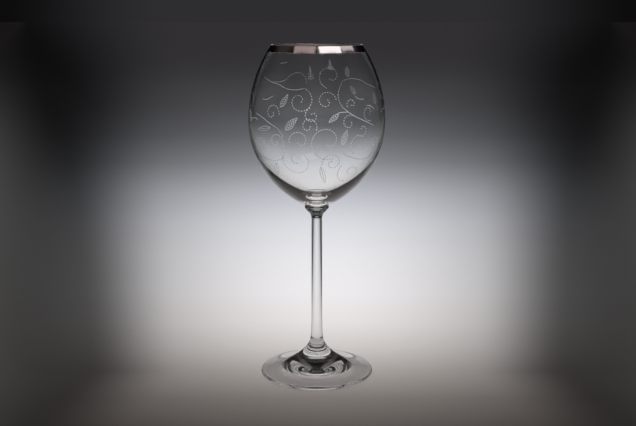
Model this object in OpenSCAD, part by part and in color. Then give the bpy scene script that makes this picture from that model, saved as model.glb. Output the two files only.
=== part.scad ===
// Red wine glass: a blown bowl on a drawn stem and a spun foot, with a metal band fired on the lip.
// It stands on the table at z = 0, and every piece is turned about the z axis.
// The glass pieces are fused end to end, so each takes its seat from the same values as its neighbour.

/* [Foot] */
// Widest width across the foot
foot_d = 77.4; // [64:0.2:90]
// Thickness of the foot at its edge
foot_edge_t = 2.8; // [2:0.1:4]
// Rounding of the foot's edge, above and below
foot_edge_r = 1.3; // [0.3:0.1:1.8]
// Height of the foot from the table to the stem
foot_h = 23.4; // [19:0.2:30]
// Width of the neck where the stem stands on the foot
neck_d = 9.4; // [8:0.1:12]
// Angle of the foot's flank under the neck, from level
neck_angle = 70; // [58:1:78]
// How far the flank keeps to that angle below the neck
neck_reach = 13; // [7:0.5:16]
// Angle of the disc's top at its edge, from level
disc_angle = 9; // [3:1:14]
// How far the disc's top keeps to that angle
disc_reach = 10; // [4:0.5:18]
// Depth of the hollow under the foot
hollow_h = 4.5; // [1:0.1:5.5]
// Width of the flat ring that rests on the table
rest_w = 3; // [1:0.1:4]

/* [Stem] */
// Width of the stem along its straight stretch
stem_d = 7.3; // [5.6:0.1:7.8]
// Height of the stem from the foot to the collar
stem_h = 92.1; // [70:0.5:120]
// Height over which the stem swells out towards the foot
swell_h = 34; // [15:0.5:45]
// Width of the ring at the head of the stem
ring_d = 13.5; // [11:0.1:15]
// Height of that ring's straight side
ring_h = 0.8; // [0.4:0.1:2]
// Height over which the stem flares out to that ring
flare_h = 6; // [4:0.1:10]
// Angle of the flare where it reaches the ring, from level
flare_angle = 48; // [30:1:70]

/* [Collar] */
// Width of the collar between stem and bowl
collar_d = 16.3; // [15:0.1:20]
// Height of the collar
collar_h = 3.1; // [2:0.1:5]
// Rounding of the collar's lower edge
collar_r = 1.4; // [0.4:0.1:1.8]

/* [Bowl] */
// Height of the bowl from the collar to the lip
bowl_h = 106.3; // [92:0.5:125]
// Widest width of the bowl
belly_d = 91; // [80:0.5:105]
// Height of the widest place above the collar
belly_h = 56.6; // [46:0.5:66]
// Width across the lip
lip_d = 60.6; // [50:0.5:74]
// Thickness of the wall at the lip
lip_wall = 1.1; // [0.8:0.1:1.8]
// Thickness of the wall at the widest place
belly_wall = 1.4; // [1:0.1:2.4]
// Thickness of the glass under the inside of the bowl
base_t = 4.4; // [3.8:0.1:8]
// Angle at which the bowl leaves the collar, from level
base_angle = 24; // [12:1:36]
// How far the outside keeps to that angle before it turns up
base_reach = 18.4; // [12:0.2:24]
// How far the outside stays upright below the widest place
belly_reach = 29; // [20:0.5:36]
// How far the inside stays level at the bottom of the bowl
floor_reach = 10; // [7:0.5:16]
// How far the inside stays upright below the widest place
hollow_reach = 35.5; // [30:0.5:40]

/* [Rim band] */
// Width of the band down the outside of the lip
band_out_w = 5; // [2:0.2:10]
// Width of the band down the inside of the lip
band_in_w = 1; // [0.4:0.1:3]
// Thickness of the metal
band_t = 0.12; // [0.06:0.01:0.3]

/* [Hidden] */
$fn = 120;
curve_steps = 24;
corner_steps = 10;
glass_colour = [0.82, 0.86, 0.88, 0.4];
metal_colour = [0.80, 0.73, 0.72];

// Heights at which the pieces meet
stem_z = foot_h;
collar_z = stem_z + stem_h;
bowl_z = collar_z + collar_h;
belly_z = bowl_z + belly_h;
lip_z = bowl_z + bowl_h;

// Foot: the rounding stays inside the edge, and the resting ring ends where the rounding starts
edge_round_most = 0.48;
edge_r = min(foot_edge_r, foot_edge_t * edge_round_most);
rest_out_r = foot_d / 2 - edge_r;
rest_in_r = rest_out_r - rest_w;
dome_r = (rest_in_r ^ 2 + hollow_h ^ 2) / (2 * hollow_h);

// Bowl above the widest place: one arc outside and one inside, upright where they start
outer_r = arc_radius(belly_d / 2 - lip_d / 2, lip_z - belly_z);
outer_centre = [belly_d / 2 - outer_r, belly_z];
lip_angle = asin((lip_z - belly_z) / outer_r);
lip_out = [lip_d / 2, lip_z];
lip_centre = lip_out - lip_wall / 2 * heading(lip_angle);
lip_in = lip_out - lip_wall * heading(lip_angle);
inner_r = arc_radius(belly_d / 2 - belly_wall - lip_in[0], lip_in[1] - belly_z);
inner_centre = [belly_d / 2 - belly_wall - inner_r, belly_z];
inner_angle = asin((lip_in[1] - belly_z) / inner_r);

// Where the band ends on those two arcs
band_out_angle = lip_angle - turn_for(band_out_w, outer_r);
band_in_angle = inner_angle - turn_for(band_in_w, inner_r);

// Unit vector at an angle from level
function heading(angle) = [cos(angle), sin(angle)];

// Radius of the arc that starts upright and moves inward by drop over a rise
function arc_radius(drop, rise) = (rise ^ 2 + drop ^ 2) / (2 * drop);

// Angle that a length takes up on an arc
function turn_for(length, radius) = length / radius * 180 / PI;

// Points along an arc
function arc(centre, radius, start, end, steps = curve_steps) =
    [for (i = [0 : steps]) centre + radius * heading(start + (end - start) * i / steps)];

// Points along a cubic curve with two end points and two handles
function curve(a, a_handle, b_handle, b, steps = curve_steps) =
    [for (i = [0 : steps]) let (t = i / steps, u = 1 - t)
        u ^ 3 * a + 3 * u ^ 2 * t * a_handle + 3 * u * t ^ 2 * b_handle + t ^ 3 * b];

// Points round a corner of an outline, as an arc that touches both of its sides
function corner(before, at, after, radius) =
    let (u = (before - at) / norm(before - at),
         v = (after - at) / norm(after - at),
         half = acos(u * v) / 2,
         centre = at + (u + v) / norm(u + v) * radius / sin(half),
         from = at + u * radius / tan(half) - centre,
         to = at + v * radius / tan(half) - centre,
         start = atan2(from[1], from[0]),
         turn = (atan2(to[1], to[0]) - start + 540) % 360 - 180)
    arc(centre, radius, start, start + turn, corner_steps);

// Everything but the first point, for joining two runs that share a point
function rest(points) = [for (i = [1 : len(points) - 1]) points[i]];

function backwards(points) = [for (i = [len(points) - 1 : -1 : 0]) points[i]];

// Half outline of the foot, from the middle of its hollow underside out and up to the neck
function foot_outline() =
    let (dome_end = asin(rest_in_r / dome_r),
         dome = arc([0, hollow_h - dome_r], dome_r, 90, 90 - dome_end),
         low = [foot_d / 2, 0],
         high = [foot_d / 2, foot_edge_t],
         inward = disc_reach * heading(180 - disc_angle),
         upper_edge = corner(low, high, high + inward, edge_r),
         start = upper_edge[corner_steps],
         neck = [neck_d / 2, foot_h],
         flank = curve(start, start + inward, neck + neck_reach * heading(-neck_angle), neck))
    concat(dome, corner([0, 0], low, high, edge_r), upper_edge, rest(flank), [[0, foot_h]]);

// Half outline of the stem: swell above the foot, straight stretch, flare and ring
function stem_outline() =
    let (swell_top = stem_z + swell_h,
         ring_z = collar_z - ring_h,
         flare_z = ring_z - flare_h,
         swell = curve([neck_d / 2, stem_z],
                       [stem_d / 2, stem_z + swell_h / 8],
                       [stem_d / 2, stem_z + swell_h / 2],
                       [stem_d / 2, swell_top]),
         flare = curve([stem_d / 2, flare_z],
                       [stem_d / 2, flare_z + flare_h / 2],
                       [ring_d / 2, ring_z] - flare_h / 2 * heading(flare_angle),
                       [ring_d / 2, ring_z]))
    concat([[0, stem_z]], swell, flare, [[ring_d / 2, collar_z], [0, collar_z]]);

// Half outline of the collar: a small disc with a rounded lower edge
function collar_outline() =
    let (low = [collar_d / 2, collar_z],
         high = [collar_d / 2, bowl_z])
    concat([[0, collar_z]], corner([0, collar_z], low, high, collar_r), [high, [0, bowl_z]]);

// Outside of the bowl from the collar up to the widest place
function outer_lower() =
    let (start = [collar_d / 2, bowl_z],
         end = [belly_d / 2, belly_z])
    curve(start, start + base_reach * heading(base_angle), end - [0, belly_reach], end);

// Inside of the bowl from its middle up to the widest place
function inner_lower() =
    let (start = [0, bowl_z + base_t],
         end = [belly_d / 2 - belly_wall, belly_z])
    curve(start, start + [floor_reach, 0], end - [0, hollow_reach], end);

// The glass under the band: up the outside, over the rounded lip and down the inside
function lip_outline(proud) =
    concat(arc(outer_centre, outer_r + proud, band_out_angle, lip_angle, corner_steps),
           rest(arc(lip_centre, lip_wall / 2 + proud, lip_angle, lip_angle + 180, corner_steps)),
           rest(arc(inner_centre, inner_r - proud, inner_angle, band_in_angle, corner_steps)));

// Half outline of the bowl, whose wall thins from the solid base to the lip
function bowl_outline() =
    concat([[0, bowl_z]],
           outer_lower(),
           rest(arc(outer_centre, outer_r, 0, band_out_angle)),
           rest(lip_outline(0)),
           rest(arc(inner_centre, inner_r, band_in_angle, 0)),
           rest(backwards(inner_lower())));

// Half outline of the band, a thin skin that follows the glass over the lip
function band_outline() = concat(lip_outline(band_t), backwards(lip_outline(0)));

module turned(outline) {
    rotate_extrude() polygon(outline);
}

module foot() {
    color(glass_colour) turned(foot_outline());
}

module stem() {
    color(glass_colour) turned(stem_outline());
}

module collar() {
    color(glass_colour) turned(collar_outline());
}

module bowl() {
    color(glass_colour) turned(bowl_outline());
}

module rim_band() {
    color(metal_colour) turned(band_outline());
}

foot();
stem();
collar();
bowl();
rim_band();
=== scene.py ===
"""Red wine glass: clear blown glass with a bright metal lip band, standing on a pale studio floor."""

import math

import bpy
import numpy as np
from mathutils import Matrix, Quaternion, Vector


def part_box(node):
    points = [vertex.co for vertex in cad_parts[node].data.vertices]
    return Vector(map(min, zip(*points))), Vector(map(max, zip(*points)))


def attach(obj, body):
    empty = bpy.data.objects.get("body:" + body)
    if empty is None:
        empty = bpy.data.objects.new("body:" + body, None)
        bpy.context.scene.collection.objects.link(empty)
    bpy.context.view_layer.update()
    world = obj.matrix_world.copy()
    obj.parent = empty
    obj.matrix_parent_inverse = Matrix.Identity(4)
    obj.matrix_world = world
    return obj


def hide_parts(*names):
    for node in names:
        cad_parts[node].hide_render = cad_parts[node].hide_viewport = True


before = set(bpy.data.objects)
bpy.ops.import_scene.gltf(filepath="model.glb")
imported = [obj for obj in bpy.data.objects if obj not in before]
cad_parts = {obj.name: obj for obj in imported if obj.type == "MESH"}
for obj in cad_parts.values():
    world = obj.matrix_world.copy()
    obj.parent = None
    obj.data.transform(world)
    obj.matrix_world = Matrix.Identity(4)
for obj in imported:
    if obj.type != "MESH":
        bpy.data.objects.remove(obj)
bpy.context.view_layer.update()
MM = 0.001

# Sizes that the CAD nodes' boxes give, in metres
foot_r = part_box("foot")[1].x
stem_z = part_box("stem")[0].z
collar_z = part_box("collar")[0].z
collar_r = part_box("collar")[1].x
ring_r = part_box("stem")[1].x
bowl_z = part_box("bowl")[0].z
belly_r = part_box("bowl")[1].x

# Sizes that the boxes do not show: the same values as in the part's source
FOOT_EDGE_T = 2.8 * MM
FOOT_EDGE_R = 1.3 * MM
NECK_R = 4.7 * MM
NECK_ANGLE = 70
NECK_REACH = 13 * MM
DISC_ANGLE = 9
DISC_REACH = 10 * MM
HOLLOW_H = 4.5 * MM
REST_W = 3 * MM
STEM_R = 3.65 * MM
SWELL_H = 34 * MM
RING_H = 0.8 * MM
FLARE_H = 6 * MM
FLARE_ANGLE = 48
COLLAR_EDGE_R = 1.4 * MM
BOWL_H = 106.3 * MM
BELLY_H = 56.6 * MM
LIP_R = 30.3 * MM
LIP_WALL = 1.1 * MM
BELLY_WALL = 1.4 * MM
BASE_T = 4.4 * MM
BASE_ANGLE = 24
BASE_REACH = 18.4 * MM
BELLY_REACH = 29 * MM
FLOOR_REACH = 10 * MM
HOLLOW_REACH = 35.5 * MM
BAND_OUT_W = 5 * MM
BAND_IN_W = 1 * MM
BAND_T = 0.12 * MM

# How finely the turned pieces are drawn, and the angle from which an edge is sharp
TURN_STEPS = 192
CURVE_STEPS = 48
CORNER_STEPS = 16
SHARP_ANGLE = 25
# A point closer to the axis than this lies on it
ON_AXIS = 1e-7
# How far the band's inner skin lies in the glass, so that no gap shows
SEAT = 0.01 * MM

# Etched ornament. A place on the bowl is an azimuth in degrees, 0 at the front, and a height above the
# collar in millimetres. Directions are seen from outside: 0 points right and 90 points up.
# Each scroll: azimuth and height of its eye, widest radius in millimetres, direction at its start, turn
SCROLLS = [
    (-14, 73.6, 8, 66, -500), (13, 88, 7.8, -110, -430), (8, 73, 6.2, 5, 445), (29.5, 71, 3.4, 215, -400),
    (27, 59.5, 4.9, 60, 400), (39, 55, 5, -150, 330), (47, 65, 5.2, -70, -400), (38, 45.5, 7.4, -120, -430),
    (56, 45, 4.4, -30, 400), (9.5, 48, 12, -70, -440), (-14, 48, 6.8, 190, -380),
    (-17.5, 35.5, 10, 158, 530), (-35, 47, 5.6, -30, 420), (-52, 45, 4.8, 240, -420),
    (-3.3, 64.5, 4.8, 105, 430), (-6.5, 57.5, 5.4, -28, 450),
    (-38.5, 65, 5.6, -10, 430), (34, 27, 9, 140, 480), (13.5, 34, 6.4, 195, -520),
    (74, 76, 7, 150, -440), (93, 79, 5, 20, 420), (106, 70, 8, 250, -460), (80, 52, 9, 30, 450),
    (101, 48, 7, 200, -430), (89, 33, 8, 100, 470), (70, 30, 6, -60, 430), (114, 34, 6, 150, -420),
]
# Each drawn tendril: the azimuths and heights that it passes
TENDRILS = [
    [(-56, 87), (-43, 84), (-35, 83), (-26, 80.5), (-18, 80), (-10, 81)],
    [(-39, 95.5), (-36, 96), (-30.5, 96.5)],
    [(-43, 84.3), (-34, 84.6), (-28, 86)],
    [(63, 80), (51, 82.5), (43, 85.3), (33, 86.6), (27, 86)],
    [(21.5, 69), (26.5, 66), (33, 63), (42, 60), (53, 56.5)],
    [(26, 66.2), (20.5, 66.3), (16.5, 65.6)],
    [(-59, 64), (-50, 62), (-42.5, 59.3), (-33, 56)],
    [(-52, 73.5), (-46, 73.3), (-39, 75.7)],
    [(-61, 30.5), (-54, 30), (-50.5, 25.5)],
    [(33, 76), (37, 74), (43, 73.6)],
    [(44.5, 69.6), (48.5, 69.4), (54.5, 67)],
    [(66, 64), (78, 66), (90, 62), (98, 58)],
    [(110, 58), (117, 61), (124, 60)],
]
# Each row of dots that leads from one scroll or tendril to the next
DOT_ROWS = [
    [(27, 86), (23, 85), (19.6, 81), (18, 77), (18.7, 72.6), (21.5, 69)],
    [(-28, 86), (-24, 89), (-16, 90.5), (-10.5, 88), (-9, 84.5)],
    [(-33, 56), (-30, 53.5), (-27.5, 50.5)],
    [(-63, 46), (-60, 38.5), (-50, 35), (-40, 34.6), (-31, 36.5), (-27.5, 41)],
    [(21, 43), (25, 39), (32, 37), (41, 35.4), (51, 35.6), (58, 38.5), (63, 42.5)],
]
# Each leaf: azimuth and height of its foot, length and width in millimetres, direction of its tip, veins
LEAVES = [
    (-5, 86, 9.6, 4.6, 97, "fern"), (13, 92, 7.4, 5, 90, "fern"), (28.5, 87.5, 7.4, 2.8, 78, "hatched"),
    (-30.6, 69, 9.4, 3.7, 60, "hatched"), (-25.8, 55, 11.6, 4.4, 44, "hatched"),
    (17.6, 65.3, 8.4, 3, 219, "hatched"), (33.6, 77, 5.8, 2.6, 113, "plain"),
    (57, 70, 7.2, 3.2, 88, "plain"), (21, 45.5, 10.2, 4.2, 74, "hatched"),
    (-39, 33, 12.5, 3.4, 247, "plain"), (3.5, 31.5, 14, 3, 286, "plain"), (57, 33, 12.6, 3.4, 254, "plain"),
    (-40, 56, 13, 2.8, 190, "plain"),
    (84, 66, 10, 4, 70, "fern"), (112, 58, 11, 5, 130, "hatched"), (72, 40, 10, 4, 215, "hatched"),
    (98, 34, 12, 3.4, 290, "plain"),
]
# The panel of ornament is repeated this many times round the bowl
PANELS = 2
# Strokes: widths and lengths, and how many points draw them
DOT_STEP = 1.8 * MM
DOT_LENGTH = 0.8 * MM
DOT_W = 0.52 * MM
DOT_POINTS = 10
LINE_W = 0.27 * MM
VEIN_W = 0.18 * MM
EDGE_W = 0.12 * MM
VEIN_STEP = 1.5 * MM
FERN_STEP = 1.1 * VEIN_STEP
PATH_STEPS = 12
SCROLL_POINTS = 80
LEAF_POINTS = 25
VEIN_POINTS = 5
# Width of a stroke at its tips, as a share of its full width, and how fast it grows along the stroke
TIP_SHARE = 0.45
TIP_WIDENS = 6
# Share of its widest radius that a scroll keeps at its eye
CURL_END = 0.17
# Leaves: where the widest place is (less than 1 is nearer the foot), the stretch that has veins and the
# length of a plain leaf's rib as shares of the length, and the slant of the veins, as a share of the leaf's
# width in hatching and of the branch's reach in a fern
LEAF_BULGE = 0.8
VEINS_START = 0.05
VEINS_END = 0.86
RIB_END = 0.8
HATCH_SLANT = 0.45
FERN_SLANT = 0.5
# How deep under the surface of the bowl the strokes start and end
ETCH_DEPTHS = (0.02 * MM, 0.05 * MM)
# Near the lip the etching gets painted shade: it looks fainter there, so it covers less there. The heights
# in metres between which it fades, and what is left
LIP_SHADE_FADES = (0.178, 0.208)
LIP_SHADE_SHARE = 0.26
# Low on the bowl the strokes look dark, so their colour is darker there, a painted shade: the heights
# between which it fades, and what is left
SHADE_FADES = (0.163, 0.154)
SHADE_SHARE = 0.1

# Noise of all materials: its detail, and the stretch of its values that is spread over a range. The scales
# below are in features per metre
NOISE_DETAIL = 3.0
NOISE_STRETCH = (0.3, 0.7)
# Clear glass: tints, roughness, tint of the light in its shadow, and the ripple of its surface
GLASS_IOR = 1.52
GLASS_TINTS = [(0.978, 0.986, 0.984, 1), (0.99, 0.995, 0.994, 1)]
GLASS_ROUGH = (0.0, 0.012)
GLASS_SHADOW = (0.98, 0.985, 0.985, 1)
RIPPLE_SCALE = 60
RIPPLE_HEIGHT = 0.2 * MM
RIPPLE_SHARE = 0.04
TINT_SCALE = 25
HAZE_SCALE = 400
# Etched glass: tones, roughness, how fully it covers, what it loses seen from inside, and its frost
ETCH_TONES = [(0.74, 0.76, 0.77, 1), (0.9, 0.91, 0.92, 1)]
ETCH_ROUGH = (0.7, 0.95)
ETCH_SPECULAR = 0.2
ETCH_COVER = (0.75, 1.0)
ETCH_LOSS_INSIDE = -0.95
FROST_SCALE = 2500
FROST_HEIGHT = 0.05 * MM
FROST_SHARE = 0.3
COVER_SCALE = 300
# Metal of the band, with brush marks that are long round the lip and fine up it
BAND_TONES = [(0.80, 0.72, 0.71, 1), (0.86, 0.80, 0.79, 1)]
BAND_ROUGH = (0.07, 0.16)
MARK_SCALES = (40, 40, 2500)
MARK_HEIGHT = 0.02 * MM
MARK_SHARE = 0.05

# Camera, from the ellipses of the lip and the foot in the photograph
CAMERA_BACK = 0.6525
CAMERA_HEIGHT = 0.2435
CAMERA_SIDE = 0.0008
CAMERA_PITCH = 11.34
CAMERA_LENS = 55.6
CAMERA_SENSOR = 36
VIEW_END = 60

# Floor: its painted pool of light along the line of sight, by the distance behind the glass (minus is in
# front of it), with painted shade just in front of the foot
POOL_LIGHT_TONES = [(-6.0, 0.02), (-1.6, 0.03), (-0.45, 0.05), (-0.22, 0.06), (-0.10, 0.065), (-0.05, 0.145),
               (0.0, 0.295), (0.05, 0.45), (0.11, 0.57), (0.2, 0.645), (0.35, 0.63), (0.5, 0.59),
               (0.7, 0.47), (1.0, 0.28), (1.4, 0.20), (2.0, 0.19), (3.0, 0.20), (6.0, 0.17)]
# Tint of the painted light on the floor, by the same distance: warm in front, cool behind
POOL_LIGHT_TINTS = [(-0.1, (1.15, 1.0, 0.93)), (0.05, (1.06, 1.0, 0.975)), (0.2, (1.02, 1.0, 1.02)),
               (0.36, (1.01, 1.0, 1.035)), (0.6, (0.97, 1.0, 1.085))]
# The painted pool of light on the floor: its middle, half its width at the glass, and how it widens with the
# distance
POOL_MIDDLE = 0.008
POOL_HALF_W = 0.12
POOL_WIDENS = 0.19
# The shares of that half width over which it fades and ends, and what is left of it past its end
POOL_FADES = (0.0, 2.05)
POOL_ENDS = (0.85, 1.4)
POOL_LEFT = 0.3
# Rest of the floor, beside and in front of the pool: how pale it is, where it starts and is full to the
# side and in front, and how much is taken off the way to the side for each metre behind the glass
REST_TONE = (0.2, 0.195, 0.19)
REST_ASIDE = (0.13, 0.5)
REST_AHEAD = (-0.18, -0.5)
REST_WIDENS = -0.29
# Far away the floor glows with the light of the room, a painted glow
FAR_FADES = (0.5, 3.0)
FLOOR_ROUGH = (0.85, 0.95)
FLOOR_GRAIN = (0.985, 1.015)
GRAIN_SCALE = 600
FLOOR_HALF = 40.0
FLOOR_DROP = 0.2 * MM

# Room: its light by the height of the line of sight, from 0 at level to 1 straight up
ROOM_TONE = (0.028, 0.0265, 0.029, 1)
CEILING_TONE = (0.008, 0.0077, 0.008, 1)
UPPER_TONE = (0.034, 0.027, 0.027, 1)
ROOM_STOPS = [(0.03, ROOM_TONE), (0.3, CEILING_TONE), (0.6, UPPER_TONE)]
# Low down its sides are darker than its middle, and high up behind the glass it is the other way round
SIDE_FADES = (0.14, 0.3)
SIDE_SHARE = 0.15
UPPER_HEIGHTS = (0.42, 0.6)
UPPER_BEHIND = (-0.2, 0.1)
# Glow low behind the glass: how far back, how far aside, where it starts and where it ends in height
GLOW_TONE = (0.4, 0.4, 0.4)
GLOW_BEHIND = (0.5, 0.9)
GLOW_ASIDE = (0.12, 0.24)
GLOW_STARTS = (0.03, 0.08)
GLOW_ENDS = (0.2, 0.3)
# Two soft lights high behind the glass, one on each side: where they start and end to the side, how high
# they start and how far back
HIGH_TONE = (0.075, 0.073, 0.075)
HIGH_STARTS = (0.2, 0.35)
HIGH_ENDS = (0.45, 0.58)
HIGH_HEIGHTS = (0.3, 0.42)
HIGH_BEHIND = (0.4, 0.6)
# Pale wall low in front of the glass
FRONT_TONE = (0.15, 0.15, 0.15)
FRONT_AHEAD = (-0.6, -0.3)
FRONT_HEIGHTS = (0.1, 0.28)

# Soft boxes: name, place, target, width and height, power in watts
LAMPS = [
    ("main", (0, 0.25, 1.6), (0, 0.25, 0), (1.4, 1.4), 33),
    ("fill", (0, -1.2, 1.4), (0, 0, 0.17), (1.4, 0.8), 12),
    ("front", (0, -1.6, 0.35), (0, 0, 0.17), (1.0, 0.3), 10),
]
# Level cards above the glass: name, place across and behind, width and length, brightness, colour, turn
WHITE = (1, 1, 1)
PINK = (1.0, 0.8, 0.78)
CARD_Z = 1.75
CARDS = [
    ("card_right", 0.70, -0.555, (1.27, 0.4), 1.25, WHITE, 26.8),
    ("card_side", 1.52, 0.42, (1.25, 0.45), 0.55, WHITE, 59),
    ("card_left", -0.625, -0.575, (1.2, 0.4), 0.36, PINK, -26.8),
]
# How often light may bounce, so that it gets through all the glass
BOUNCES = 32


def heading(angle):
    """Unit vector at an angle from level, in degrees."""
    return np.array([math.cos(math.radians(angle)), math.sin(math.radians(angle))])


def arc(centre, radius, start, end, steps=CURVE_STEPS):
    """Points along an arc."""
    return [np.array(centre) + radius * heading(a) for a in np.linspace(start, end, steps + 1)]


def curve(a, a_handle, b_handle, b, steps=CURVE_STEPS):
    """Points along a cubic curve with two end points and two handles."""
    a, a_handle, b_handle, b = (np.array(p) for p in (a, a_handle, b_handle, b))
    points = []
    for t in np.linspace(0, 1, steps + 1):
        u = 1 - t
        points.append(u**3 * a + 3 * u**2 * t * a_handle + 3 * u * t**2 * b_handle + t**3 * b)
    return points


def corner(before, at, after, radius, steps=CORNER_STEPS):
    """Points round a corner of an outline, as an arc that touches both of its sides."""
    before, at, after = (np.array(p) for p in (before, at, after))
    u = (before - at) / np.linalg.norm(before - at)
    v = (after - at) / np.linalg.norm(after - at)
    half = math.acos(float(u @ v)) / 2
    centre = at + (u + v) / np.linalg.norm(u + v) * radius / math.sin(half)
    first = at + u * radius / math.tan(half) - centre
    last = at + v * radius / math.tan(half) - centre
    start = math.degrees(math.atan2(first[1], first[0]))
    turn = (math.degrees(math.atan2(last[1], last[0])) - start + 540) % 360 - 180
    return arc(centre, radius, start, start + turn, steps)


def arc_radius(drop, rise):
    """Radius of the arc that starts upright and moves inward by drop over a rise."""
    return (rise**2 + drop**2) / (2 * drop)


# The bowl's two arcs above its widest place, and the lip between them
belly_z = bowl_z + BELLY_H
lip_z = bowl_z + BOWL_H
outer_arc_r = arc_radius(belly_r - LIP_R, lip_z - belly_z)
outer_centre = np.array([belly_r - outer_arc_r, belly_z])
lip_angle = math.degrees(math.asin((lip_z - belly_z) / outer_arc_r))
lip_out = np.array([LIP_R, lip_z])
lip_centre = lip_out - LIP_WALL / 2 * heading(lip_angle)
lip_in = lip_out - LIP_WALL * heading(lip_angle)
inner_arc_r = arc_radius(belly_r - BELLY_WALL - lip_in[0], lip_in[1] - belly_z)
inner_centre = np.array([belly_r - BELLY_WALL - inner_arc_r, belly_z])
inner_angle = math.degrees(math.asin((lip_in[1] - belly_z) / inner_arc_r))
band_out_angle = lip_angle - math.degrees(BAND_OUT_W / outer_arc_r)
band_in_angle = inner_angle - math.degrees(BAND_IN_W / inner_arc_r)


def outer_wall():
    """Outside of the bowl, from the collar up to the lip."""
    start = np.array([collar_r, bowl_z])
    end = np.array([belly_r, belly_z])
    lower = curve(start, start + BASE_REACH * heading(BASE_ANGLE), end - [0, BELLY_REACH], end)
    return lower + arc(outer_centre, outer_arc_r, 0, lip_angle)[1:]


def inner_wall():
    """Inside of the bowl, from the lip down to the middle of its bottom."""
    start = np.array([0, bowl_z + BASE_T])
    end = np.array([belly_r - BELLY_WALL, belly_z])
    lower = curve(start, start + [FLOOR_REACH, 0], end - [0, HOLLOW_REACH], end)
    return arc(inner_centre, inner_arc_r, inner_angle, 0) + lower[::-1][1:]


def bowl_outline():
    """Half outline of the bowl, from the collar up the outside, over the lip and down the inside."""
    lip = arc(lip_centre, LIP_WALL / 2, lip_angle, lip_angle + 180, CORNER_STEPS)
    return outer_wall() + lip[1:] + inner_wall()[1:]


def lip_outline(proud):
    """The stretch of the bowl's outline that the band covers, stood off by proud."""
    outside = arc(outer_centre, outer_arc_r + proud, band_out_angle, lip_angle, CORNER_STEPS)
    over = arc(lip_centre, LIP_WALL / 2 + proud, lip_angle, lip_angle + 180, CORNER_STEPS)
    inside = arc(inner_centre, inner_arc_r - proud, inner_angle, band_in_angle, CORNER_STEPS)
    return outside + over[1:] + inside[1:]


def band_outline():
    """Half outline of the band, a closed thin skin that follows the glass over the lip."""
    return lip_outline(BAND_T) + lip_outline(-SEAT)[::-1]


def collar_outline():
    """Side of the collar, a small disc with a rounded lower edge."""
    low = [collar_r, collar_z]
    high = [collar_r, bowl_z]
    return corner([0, collar_z], low, high, COLLAR_EDGE_R) + [np.array(high)]


def stem_outline():
    """Side of the stem: swell above the foot, straight stretch, flare and ring."""
    ring_z = collar_z - RING_H
    flare_z = ring_z - FLARE_H
    swell = curve([NECK_R, stem_z], [STEM_R, stem_z + SWELL_H / 8],
                  [STEM_R, stem_z + SWELL_H / 2], [STEM_R, stem_z + SWELL_H])
    ring = np.array([ring_r, ring_z])
    flare = curve([STEM_R, flare_z], [STEM_R, flare_z + FLARE_H / 2],
                  ring - FLARE_H / 2 * heading(FLARE_ANGLE), ring)
    return swell + flare + [np.array([ring_r, collar_z])]


def foot_outline():
    """Half outline of the foot, from the middle of its hollow underside out and up to the neck."""
    rest_in_r = foot_r - FOOT_EDGE_R - REST_W
    dome_r = (rest_in_r**2 + HOLLOW_H**2) / (2 * HOLLOW_H)
    dome_end = math.degrees(math.asin(rest_in_r / dome_r))
    dome = arc([0, HOLLOW_H - dome_r], dome_r, 90, 90 - dome_end)
    low = np.array([foot_r, 0])
    high = np.array([foot_r, FOOT_EDGE_T])
    inward = DISC_REACH * heading(180 - DISC_ANGLE)
    edge = corner([0, 0], low, high, FOOT_EDGE_R) + corner(low, high, high + inward, FOOT_EDGE_R)
    neck = np.array([NECK_R, stem_z])
    flank = curve(edge[-1], edge[-1] + inward, neck + NECK_REACH * heading(-NECK_ANGLE), neck)
    return dome + edge + flank[1:]


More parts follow.
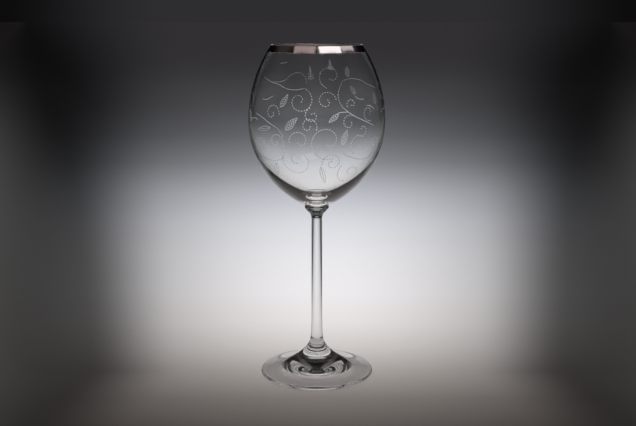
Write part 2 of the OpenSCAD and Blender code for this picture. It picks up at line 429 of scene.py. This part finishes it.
class Etching:
    """Thin frosted strokes that follow the outside of the bowl just under its surface.

    A path is an array of rows: azimuth in degrees, and distance up the wall from the collar.
    """

    def __init__(self):
        self.wall = np.array(outer_wall())
        steps = np.diff(self.wall, axis=0)
        self.up = np.concatenate([[0], np.cumsum(np.linalg.norm(steps, axis=1))])
        along = np.gradient(self.wall, self.up, axis=0)
        self.out = np.stack([along[:, 1], -along[:, 0]], axis=1)
        self.vertices = []
        self.faces = []
        self.hidden = []

    def radius(self, up):
        """Radius of the wall at a distance up it."""
        return np.interp(up, self.up, self.wall[:, 0])

    def up_at(self, height):
        """Distance up the wall at a height above the collar, in millimetres."""
        return np.interp(bowl_z + np.asarray(height) * MM, self.wall[:, 1], self.up)

    def flat(self, azimuth, height, across, rise):
        """Path of a flat drawing laid on the wall, with its middle at an azimuth and height."""
        up = self.up_at(height)
        return np.stack([azimuth + np.degrees(across / self.radius(up)), up + rise], axis=1)

    def through(self, places, turn):
        """Smooth path through places on the bowl."""
        azimuth, height = np.array(places, float).T
        knots = np.stack([azimuth + turn, self.up_at(height)], axis=1)
        ends = np.concatenate([[2 * knots[0] - knots[1]], knots, [2 * knots[-1] - knots[-2]]])
        path = [knots[0]]
        for a, b, c, d in zip(ends, ends[1:], ends[2:], ends[3:]):
            path += curve(b, b + (c - a) / 6, c - (d - b) / 6, c, PATH_STEPS)[1:]
        return np.array(path)

    def sideways(self, path):
        """Unit vectors to the left of a path, across and up the wall, and the distance along it."""
        metres = np.stack([np.radians(path[:, 0]) * self.radius(path[:, 1]), path[:, 1]], axis=1)
        step = np.gradient(metres, axis=0)
        step /= np.linalg.norm(step, axis=1)[:, None]
        length = np.concatenate([[0], np.cumsum(np.linalg.norm(np.diff(metres, axis=0), axis=1))])
        return np.stack([-step[:, 1], step[:, 0]], axis=1), length

    def add_points(self, path, offset):
        """Points beside a path, at both depths of the stroke. Gives the first point's number."""
        first = len(self.vertices)
        azimuth = np.radians(path[:, 0]) + offset[:, 0] / self.radius(path[:, 1])
        up = path[:, 1] + offset[:, 1]
        for depth in ETCH_DEPTHS:
            r = self.radius(up) - depth * np.interp(up, self.up, self.out[:, 0])
            z = np.interp(up, self.up, self.wall[:, 1]) - depth * np.interp(up, self.up, self.out[:, 1])
            self.vertices += list(zip(r * np.sin(azimuth), -r * np.cos(azimuth), z))
        return first

    def close(self, first, count, show):
        """Faces of one closed stroke: those shown outside, and the hidden ones under and round it."""
        rim = list(range(count))
        self.faces += [tuple(first + i for i in face) for face in show]
        self.hidden += [tuple(first + count + i for i in face[::-1]) for face in show]
        for i, j in zip(rim, rim[1:] + rim[:1]):
            self.hidden.append((first + i, first + count + i, first + count + j, first + j))

    def line(self, path, width=LINE_W):
        """A stroke along a path, finer towards its two ends."""
        left, length = self.sideways(path)
        share = length / length[-1]
        half = width / 2 * np.clip(TIP_SHARE + TIP_WIDENS * np.minimum(share, 1 - share), 0, 1)[:, None]
        n = len(path)
        there_and_back = np.concatenate([path, path[::-1]])
        both_sides = np.concatenate([-left * half, (left * half)[::-1]])
        first = self.add_points(there_and_back, both_sides)
        self.close(first, 2 * n, [(i, i + 1, 2 * n - 2 - i, 2 * n - 1 - i) for i in range(n - 1)])

    def dots(self, path):
        """A row of short rounded dashes along a path."""
        left, length = self.sideways(path)
        turn = np.linspace(0, 2 * math.pi, DOT_POINTS, endpoint=False)
        for at in np.arange(DOT_STEP / 2, length[-1], DOT_STEP):
            middle = np.array([np.interp(at, length, column) for column in path.T])
            side = np.array([np.interp(at, length, column) for column in left.T])
            ahead = np.array([side[1], -side[0]])
            rim = np.outer(np.cos(turn) * DOT_LENGTH / 2, ahead) + np.outer(np.sin(turn) * DOT_W / 2, side)
            first = self.add_points(np.tile(middle, (len(turn), 1)), rim)
            self.close(first, len(turn), [tuple(range(len(turn)))])

    def scroll(self, azimuth, height, radius, start, turn):
        """A dotted curl that closes in on its eye."""
        share = np.linspace(0, 1, SCROLL_POINTS)
        size = radius * MM * (CURL_END + (1 - CURL_END) * (1 + np.cos(math.pi * share)) / 2)
        angle = np.radians(start + turn * share)
        self.dots(self.flat(azimuth, height, size * np.cos(angle), size * np.sin(angle)))

    def leaf(self, azimuth, height, length, width, direction, veins):
        """A leaf: two edges with hatching or a rib between them, or a fern's rib with its branches."""
        length *= MM
        width *= MM
        turn = heading(direction)

        def draw(along, aside, pen):
            across = along * turn[0] - aside * turn[1]
            rise = along * turn[1] + aside * turn[0]
            self.line(self.flat(azimuth, height, across, rise), pen)

        def half(along):
            share = np.clip(along / length, 0, 1)
            if veins == "fern":
                return width / 2 * (1 - share)
            return width / 2 * np.sin(math.pi * share ** LEAF_BULGE)

        along = np.linspace(0, length, LEAF_POINTS)
        if veins == "fern":
            draw(along, 0 * along, VEIN_W)
        else:
            edge = VEIN_W if veins == "plain" else EDGE_W
            draw(along, half(along), edge)
            draw(along, -half(along), edge)
        step = FERN_STEP if veins == "fern" else VEIN_STEP
        for at in np.arange(length * VEINS_START, length * VEINS_END, step):
            if veins == "hatched":
                end = at + width * HATCH_SLANT
                for side in (-1, 1):
                    across_leaf = side * np.linspace(-half(at), half(end), VEIN_POINTS)
                    draw(np.linspace(at, end, VEIN_POINTS), across_leaf, VEIN_W)
            elif veins == "fern":
                end = at + half(at) * FERN_SLANT
                for side in (-1, 1):
                    outward = np.linspace(0, side * half(at), VEIN_POINTS)
                    draw(np.linspace(at, end, VEIN_POINTS), outward, LINE_W)
        if veins == "plain":
            draw(along * RIB_END, 0 * along, VEIN_W)

    def piece(self, name):
        """The strokes so far as one mesh: shown faces in the first material, hidden ones in the second."""
        mesh = bpy.data.meshes.new(name)
        mesh.from_pydata(self.vertices, [], self.faces + self.hidden)
        for polygon in mesh.polygons[len(self.faces):]:
            polygon.material_index = 1
        made = bpy.data.objects.new(name, mesh)
        bpy.context.scene.collection.objects.link(made)
        return made


def etched_ornament():
    """Scrolls, tendrils and leaves round the bowl: one panel, repeated."""
    etching = Etching()
    for panel in range(PANELS):
        turn = 360 / PANELS * panel
        for azimuth, *rest in SCROLLS:
            etching.scroll(azimuth + turn, *rest)
        for places in TENDRILS:
            etching.line(etching.through(places, turn))
        for places in DOT_ROWS:
            etching.dots(etching.through(places, turn))
        for azimuth, *rest in LEAVES:
            etching.leaf(azimuth + turn, *rest)
    return etching.piece("etched_scrolls")


def turned(name, outline, seam_below=False, seam_above=False, closed=False):
    """A smooth piece turned about the z axis. A flat seam face closes an end that is fused to the next."""
    angles = np.linspace(0, 2 * math.pi, TURN_STEPS, endpoint=False)
    vertices = []
    faces = []
    seams = []
    rings = []
    for r, z in outline:
        if r < ON_AXIS:
            rings.append([len(vertices)])
            vertices.append((0, 0, z))
        else:
            rings.append(list(range(len(vertices), len(vertices) + TURN_STEPS)))
            vertices += [(r * math.sin(a), -r * math.cos(a), z) for a in angles]
    pairs = list(zip(rings, rings[1:]))
    if closed:
        pairs.append((rings[-1], rings[0]))
    for low, high in pairs:
        for i in range(TURN_STEPS):
            j = (i + 1) % TURN_STEPS
            if len(low) == 1:
                faces.append((low[0], high[j], high[i]))
            elif len(high) == 1:
                faces.append((low[i], low[j], high[0]))
            else:
                faces.append((low[i], low[j], high[j], high[i]))
    if seam_below:
        seams.append(len(faces))
        faces.append(tuple(rings[0][::-1]))
    if seam_above:
        seams.append(len(faces))
        faces.append(tuple(rings[-1]))
    mesh = bpy.data.meshes.new(name)
    mesh.from_pydata(vertices, [], faces)
    mesh.shade_smooth()
    mesh.set_sharp_from_angle(angle=math.radians(SHARP_ANGLE))
    for face in seams:
        mesh.polygons[face].material_index = 1
    piece = bpy.data.objects.new(name, mesh)
    bpy.context.scene.collection.objects.link(piece)
    return piece


class Nodes:
    """Short way to write the node tree of a material or of the world."""

    def __init__(self, owner, output="ShaderNodeOutputMaterial"):
        owner.use_nodes = True
        self.owner = owner
        self.tree = owner.node_tree
        self.tree.nodes.clear()
        self.out = self.add(output)

    def add(self, kind, settings=None, **inputs):
        """A new node. An input's name has _ for each space."""
        made = self.tree.nodes.new(kind)
        for key, value in (settings or {}).items():
            setattr(made, key, value)
        for key, value in inputs.items():
            self.put(made.inputs[key.replace("_", " ")], value)
        return made

    def math(self, operation, *values, kind="ShaderNodeMath"):
        """Result of an operation on numbers, or on vectors with the other kind of node."""
        made = self.add(kind, {"operation": operation})
        for socket, value in zip(made.inputs, values):
            self.put(socket, value)
        return next(socket for socket in made.outputs if socket.enabled)

    def both(self, first, second):
        """Two shares multiplied."""
        return self.math("MULTIPLY", first, second)

    def scaled(self, colour, factor):
        """A colour made lighter or darker by a number."""
        made = self.add("ShaderNodeVectorMath", {"operation": "SCALE"}, Scale=factor)
        self.put(made.inputs[0], colour)
        return made.outputs[0]

    def fade(self, value, start, end, before, after):
        """A number that goes smoothly from before to after while value goes from start to end."""
        made = self.add("ShaderNodeMapRange", {"interpolation_type": "SMOOTHSTEP"}, Value=value)
        for name, limit in zip(("From Min", "From Max", "To Min", "To Max"), (start, end, before, after)):
            made.inputs[name].default_value = limit
        return made.outputs["Result"]

    def put(self, socket, value):
        """Links a socket to another one, or gives it a fixed value."""
        if isinstance(value, bpy.types.NodeSocket):
            self.tree.links.new(value, socket)
        else:
            socket.default_value = value

    def noise(self, scale, place=None):
        """Soft noise, with scale in features per metre."""
        place = place or self.add("ShaderNodeTexCoord").outputs["Object"]
        return self.add("ShaderNodeTexNoise", Vector=place, Scale=scale, Detail=NOISE_DETAIL).outputs["Fac"]

    def spread(self, value, low, high):
        """A noise value spread from low to high."""
        made = self.add("ShaderNodeMapRange", Value=value)
        for name, limit in zip(("From Min", "From Max", "To Min", "To Max"), (*NOISE_STRETCH, low, high)):
            made.inputs[name].default_value = limit
        return made.outputs["Result"]

    def ramp(self, value, low, high):
        """A noise value as a colour from low to high."""
        made = self.add("ShaderNodeValToRGB", Fac=value)
        for stop, position, colour in zip(made.color_ramp.elements, NOISE_STRETCH, (low, high)):
            stop.position = position
            stop.color = colour
        return made.outputs["Color"]

    def show(self, shader):
        """Ends the tree in a shader. Gives the material or world."""
        self.tree.links.new(shader, self.out.inputs["Surface"])
        return self.owner


def new_material(name):
    """Node tree of a new material."""
    return Nodes(bpy.data.materials.new(name))


def glass_material():
    """Clear blown glass, a little uneven. Lamps shine through it with a little loss: a pale shadow."""
    m = new_material("clear_glass")
    ripple = m.noise(RIPPLE_SCALE)
    bump = m.add("ShaderNodeBump", Strength=RIPPLE_SHARE, Distance=RIPPLE_HEIGHT, Height=ripple)
    tint = m.ramp(m.noise(TINT_SCALE), *GLASS_TINTS)
    rough = m.spread(m.noise(HAZE_SCALE), *GLASS_ROUGH)
    glass = m.add("ShaderNodeBsdfPrincipled", Base_Color=tint, Roughness=rough,
                  IOR=GLASS_IOR, Transmission_Weight=1.0, Normal=bump.outputs[0])
    path = m.add("ShaderNodeLightPath")
    lit_through = m.add("ShaderNodeBsdfTransparent", Color=GLASS_SHADOW)
    mix = m.add("ShaderNodeMixShader", Fac=path.outputs["Is Shadow Ray"])
    m.tree.links.new(glass.outputs[0], mix.inputs[1])
    m.tree.links.new(lit_through.outputs[0], mix.inputs[2])
    return m.show(mix.outputs[0])


def seam_material():
    """Faces that do not show: the flat ones inside a fused joint, and the hidden sides of etched strokes."""
    m = new_material("fused_seam")
    return m.show(m.add("ShaderNodeBsdfTransparent").outputs[0])


def etched_material():
    """Frosted strokes, seen from outside, with painted shade that makes them fainter near the lip and darker
    low on the bowl. From inside, through the polished wall, they hardly show.
    """
    m = new_material("etched_glass")
    grain = m.noise(FROST_SCALE)
    behind = m.add("ShaderNodeNewGeometry").outputs["Backfacing"]
    seen = m.math("MULTIPLY_ADD", behind, ETCH_LOSS_INSIDE, 1.0)
    place = m.add("ShaderNodeTexCoord").outputs["Object"]
    height = m.add("ShaderNodeSeparateXYZ", Vector=place).outputs["Z"]
    # Painted shade: near the lip the strokes cover less, and low on the bowl their colour is darker
    lip_shade = m.fade(height, *LIP_SHADE_FADES, 1.0, LIP_SHADE_SHARE)
    shade = m.fade(height, *SHADE_FADES, 1.0, SHADE_SHARE)
    tone = m.scaled(m.ramp(grain, *ETCH_TONES), shade)
    cover = m.both(m.spread(m.noise(COVER_SCALE), *ETCH_COVER), m.both(seen, lip_shade))
    bump = m.add("ShaderNodeBump", Strength=FROST_SHARE, Distance=FROST_HEIGHT, Height=grain)
    frost = m.add("ShaderNodeBsdfPrincipled", Base_Color=tone, Roughness=m.spread(grain, *ETCH_ROUGH),
                  Specular_IOR_Level=ETCH_SPECULAR, Alpha=cover, Normal=bump.outputs[0])
    return m.show(frost.outputs[0])


def band_material():
    """Fired-on platinum: bright, slightly pink, with faint brush marks round the lip."""
    m = new_material("band_platinum")
    place = m.add("ShaderNodeTexCoord").outputs["Object"]
    long_marks = m.add("ShaderNodeMapping", Vector=place, Scale=MARK_SCALES)
    marks = m.noise(1, long_marks.outputs[0])
    bump = m.add("ShaderNodeBump", Strength=MARK_SHARE, Distance=MARK_HEIGHT, Height=marks)
    metal = m.add("ShaderNodeBsdfPrincipled", Base_Color=m.ramp(marks, *BAND_TONES), Metallic=1.0,
                  Roughness=m.spread(marks, *BAND_ROUGH), Normal=bump.outputs[0])
    return m.show(metal.outputs[0])


def painted_pool_ramp(m, behind, away):
    """Colour of the painted pool of light by the distance behind the glass.

    The ramp runs over y / (|y| + 1), which brings every distance between -1 and 1.
    """
    share = m.math("DIVIDE", behind, m.math("ADD", away, 1.0))
    ramp = m.add("ShaderNodeValToRGB", Fac=m.math("MULTIPLY_ADD", share, 0.5, 0.5))
    stops = ramp.color_ramp.elements
    places, tints = zip(*POOL_LIGHT_TINTS)
    for i, (y, tone) in enumerate(POOL_LIGHT_TONES):
        at = 0.5 + 0.5 * y / (abs(y) + 1)
        stop = stops[i] if i < 2 else stops.new(at)
        stop.position = at
        tint = [np.interp(y, places, channel) for channel in zip(*tints)]
        stop.color = (*(tone * np.array(tint)), 1)
    return ramp.outputs["Color"]


def floor_material():
    """Matt studio floor: a pool of light painted on it by the glass, with painted shade just in front of the
    foot, plain grey beyond, and far away a painted glow of the room.
    """
    m = new_material("floor")
    place = m.add("ShaderNodeNewGeometry").outputs["Position"]
    split = m.add("ShaderNodeSeparateXYZ", Vector=place)
    aside = m.math("ABSOLUTE", m.math("SUBTRACT", split.outputs["X"], POOL_MIDDLE))
    behind = split.outputs["Y"]
    distance = m.math("ABSOLUTE", behind)
    width = m.math("MULTIPLY_ADD", distance, POOL_WIDENS, POOL_HALF_W)
    out_share = m.math("DIVIDE", aside, width)
    ends = m.fade(out_share, *POOL_ENDS, 1.0, POOL_LEFT)
    pool = m.both(m.fade(out_share, *POOL_FADES, 1.0, 0.0), ends)
    start = m.math("MULTIPLY_ADD", m.math("MAXIMUM", behind, 0.0), REST_WIDENS, aside)
    beside = m.fade(start, *REST_ASIDE, 0.0, 1.0)
    ahead = m.fade(behind, *REST_AHEAD, 0.0, 1.0)
    rest = m.scaled(REST_TONE, m.math("MAXIMUM", beside, ahead))
    # Painted pool of light and shade, by the distance behind the glass
    pool_light_colour = m.scaled(painted_pool_ramp(m, behind, distance), pool)
    grain = m.noise(GRAIN_SCALE, place)
    tone = m.math("ADD", pool_light_colour, rest, kind="ShaderNodeVectorMath")
    tone = m.scaled(tone, m.spread(grain, *FLOOR_GRAIN))
    # Painted glow: far away the floor emits the room's tone, less to the sides
    away = m.math("LENGTH", place, kind="ShaderNodeVectorMath")
    far = m.fade(away, *FAR_FADES, 0.0, 1.0)
    to_side = m.fade(m.math("DIVIDE", aside, away), *SIDE_FADES, 1.0, SIDE_SHARE)
    matt = m.add("ShaderNodeBsdfPrincipled", Base_Color=tone, Roughness=m.spread(grain, *FLOOR_ROUGH),
                 Emission_Color=ROOM_TONE, Emission_Strength=m.both(far, to_side), Specular_IOR_Level=0.0)
    return m.show(matt.outputs[0])


def add_floor():
    """Wide level floor, just under the foot."""
    mesh = bpy.data.meshes.new("floor")
    sides = [(-1, -1), (1, -1), (1, 1), (-1, 1)]
    corners = [(x * FLOOR_HALF, y * FLOOR_HALF, -FLOOR_DROP) for x, y in sides]
    mesh.from_pydata(corners, [], [(0, 1, 2, 3)])
    floor = bpy.data.objects.new("floor", mesh)
    mesh.materials.append(floor_material())
    bpy.context.scene.collection.objects.link(floor)


def add_lamp(name, place, target, size, power, colour=WHITE, turn=0, mirrored=False):
    """Soft box that shines from place to target. A mirrored one only shows in what reflects it.

    The others only light, and do not show in glass or metal.
    """
    lamp = bpy.data.lights.new(name, "AREA")
    lamp.shape = "RECTANGLE"
    lamp.size, lamp.size_y = size
    lamp.energy = power
    lamp.color = colour
    obj = bpy.data.objects.new(name, lamp)
    obj.location = place
    aim = (Vector(target) - Vector(place)).to_track_quat("-Z", "Y")
    obj.rotation_euler = (Quaternion((0, 0, 1), math.radians(turn)) @ aim).to_euler()
    obj.visible_diffuse = not mirrored
    obj.visible_glossy = mirrored
    obj.visible_transmission = False
    bpy.context.scene.collection.objects.link(obj)


def add_card(name, x, y, size, level, colour, turn):
    """Level card above the glass that shows in the lip band, as bright as level."""
    power = level * math.pi * size[0] * size[1]
    add_lamp(name, (x, y, CARD_Z), (x, y, 0), size, power, colour, turn, mirrored=True)


def room_light(w, aside, behind, height):
    """Light of the dark room, by height and to the side."""
    ramp = w.add("ShaderNodeValToRGB", Fac=height)
    stops = ramp.color_ramp.elements
    stops.new(0.5)
    for stop, (place, tone) in zip(stops, ROOM_STOPS):
        stop.position = place
        stop.color = tone
    low = w.fade(aside, *SIDE_FADES, 1.0, SIDE_SHARE)
    high = w.fade(aside, *SIDE_FADES, SIDE_SHARE, 1.0)
    upper = w.both(w.fade(height, *UPPER_HEIGHTS, 0.0, 1.0), w.fade(behind, *UPPER_BEHIND, 0.0, 1.0))
    share = w.math("MULTIPLY_ADD", upper, w.math("SUBTRACT", high, low), low)
    return w.scaled(ramp.outputs["Color"], share)


def glow_light(w, aside, behind, height):
    """Glow low behind the glass."""
    back = w.both(w.fade(behind, *GLOW_BEHIND, 0.0, 1.0), w.fade(aside, *GLOW_ASIDE, 1.0, 0.0))
    level = w.both(w.fade(height, *GLOW_STARTS, 0.0, 1.0), w.fade(height, *GLOW_ENDS, 1.0, 0.0))
    return w.scaled(GLOW_TONE, w.both(back, level))


def high_light(w, aside, behind, height):
    """Two soft lights high behind the glass."""
    pair = w.both(w.fade(aside, *HIGH_STARTS, 0.0, 1.0), w.fade(aside, *HIGH_ENDS, 1.0, 0.0))
    above = w.both(w.fade(height, *HIGH_HEIGHTS, 0.0, 1.0), w.fade(behind, *HIGH_BEHIND, 0.0, 1.0))
    return w.scaled(HIGH_TONE, w.both(pair, above))


def front_light(w, behind, height):
    """Pale wall low in front of the glass."""
    low = w.fade(height, *FRONT_HEIGHTS, 1.0, 0.0)
    return w.scaled(FRONT_TONE, w.both(w.fade(behind, *FRONT_AHEAD, 1.0, 0.0), low))


def add_world():
    """Dark room with a glow and two soft lights behind the glass, and a pale wall in front of it."""
    world = bpy.data.worlds.new("studio")
    bpy.context.scene.world = world
    w = Nodes(world, "ShaderNodeOutputWorld")
    split = w.add("ShaderNodeSeparateXYZ", Vector=w.add("ShaderNodeTexCoord").outputs["Generated"])
    aside = w.math("ABSOLUTE", split.outputs["X"])
    behind = split.outputs["Y"]
    height = split.outputs["Z"]
    tone = room_light(w, aside, behind, height)
    lights = [glow_light(w, aside, behind, height), high_light(w, aside, behind, height),
              front_light(w, behind, height)]
    for light in lights:
        tone = w.math("ADD", tone, light, kind="ShaderNodeVectorMath")
    w.show(w.add("ShaderNodeBackground", Color=tone).outputs[0])


def add_camera():
    """Camera where the photograph was taken from."""
    data = bpy.data.cameras.new("camera")
    data.lens = CAMERA_LENS
    data.sensor_width = CAMERA_SENSOR
    data.clip_end = VIEW_END
    camera = bpy.data.objects.new("camera", data)
    camera.location = (CAMERA_SIDE, -CAMERA_BACK, CAMERA_HEIGHT)
    camera.rotation_euler = (math.radians(90 - CAMERA_PITCH), 0, 0)
    bpy.context.scene.collection.objects.link(camera)
    bpy.context.scene.camera = camera


clear_glass = glass_material()
fused_seam = seam_material()
glass_pieces = {
    "foot": turned("glass_foot", foot_outline(), seam_above=True),
    "stem": turned("glass_stem", stem_outline(), seam_below=True, seam_above=True),
    "collar": turned("glass_collar", collar_outline(), seam_below=True, seam_above=True),
    "bowl": turned("glass_bowl", bowl_outline(), seam_below=True),
}
for node, piece in glass_pieces.items():
    piece.data.materials.append(clear_glass)
    piece.data.materials.append(fused_seam)
    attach(piece, "root")
    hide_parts(node)

ornament = etched_ornament()
ornament.data.materials.append(etched_material())
ornament.data.materials.append(fused_seam)
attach(ornament, "root")

band = turned("lip_band", band_outline(), closed=True)
band.data.materials.append(band_material())
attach(band, "root")
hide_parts("rim_band")

add_floor()
add_world()
add_camera()
for lamp in LAMPS:
    add_lamp(*lamp)
for card in CARDS:
    add_card(*card)

scene = bpy.context.scene
scene.view_settings.view_transform = "Standard"
scene.cycles.max_bounces = BOUNCES
scene.cycles.glossy_bounces = BOUNCES
scene.cycles.transmission_bounces = BOUNCES
scene.cycles.transparent_max_bounces = BOUNCES
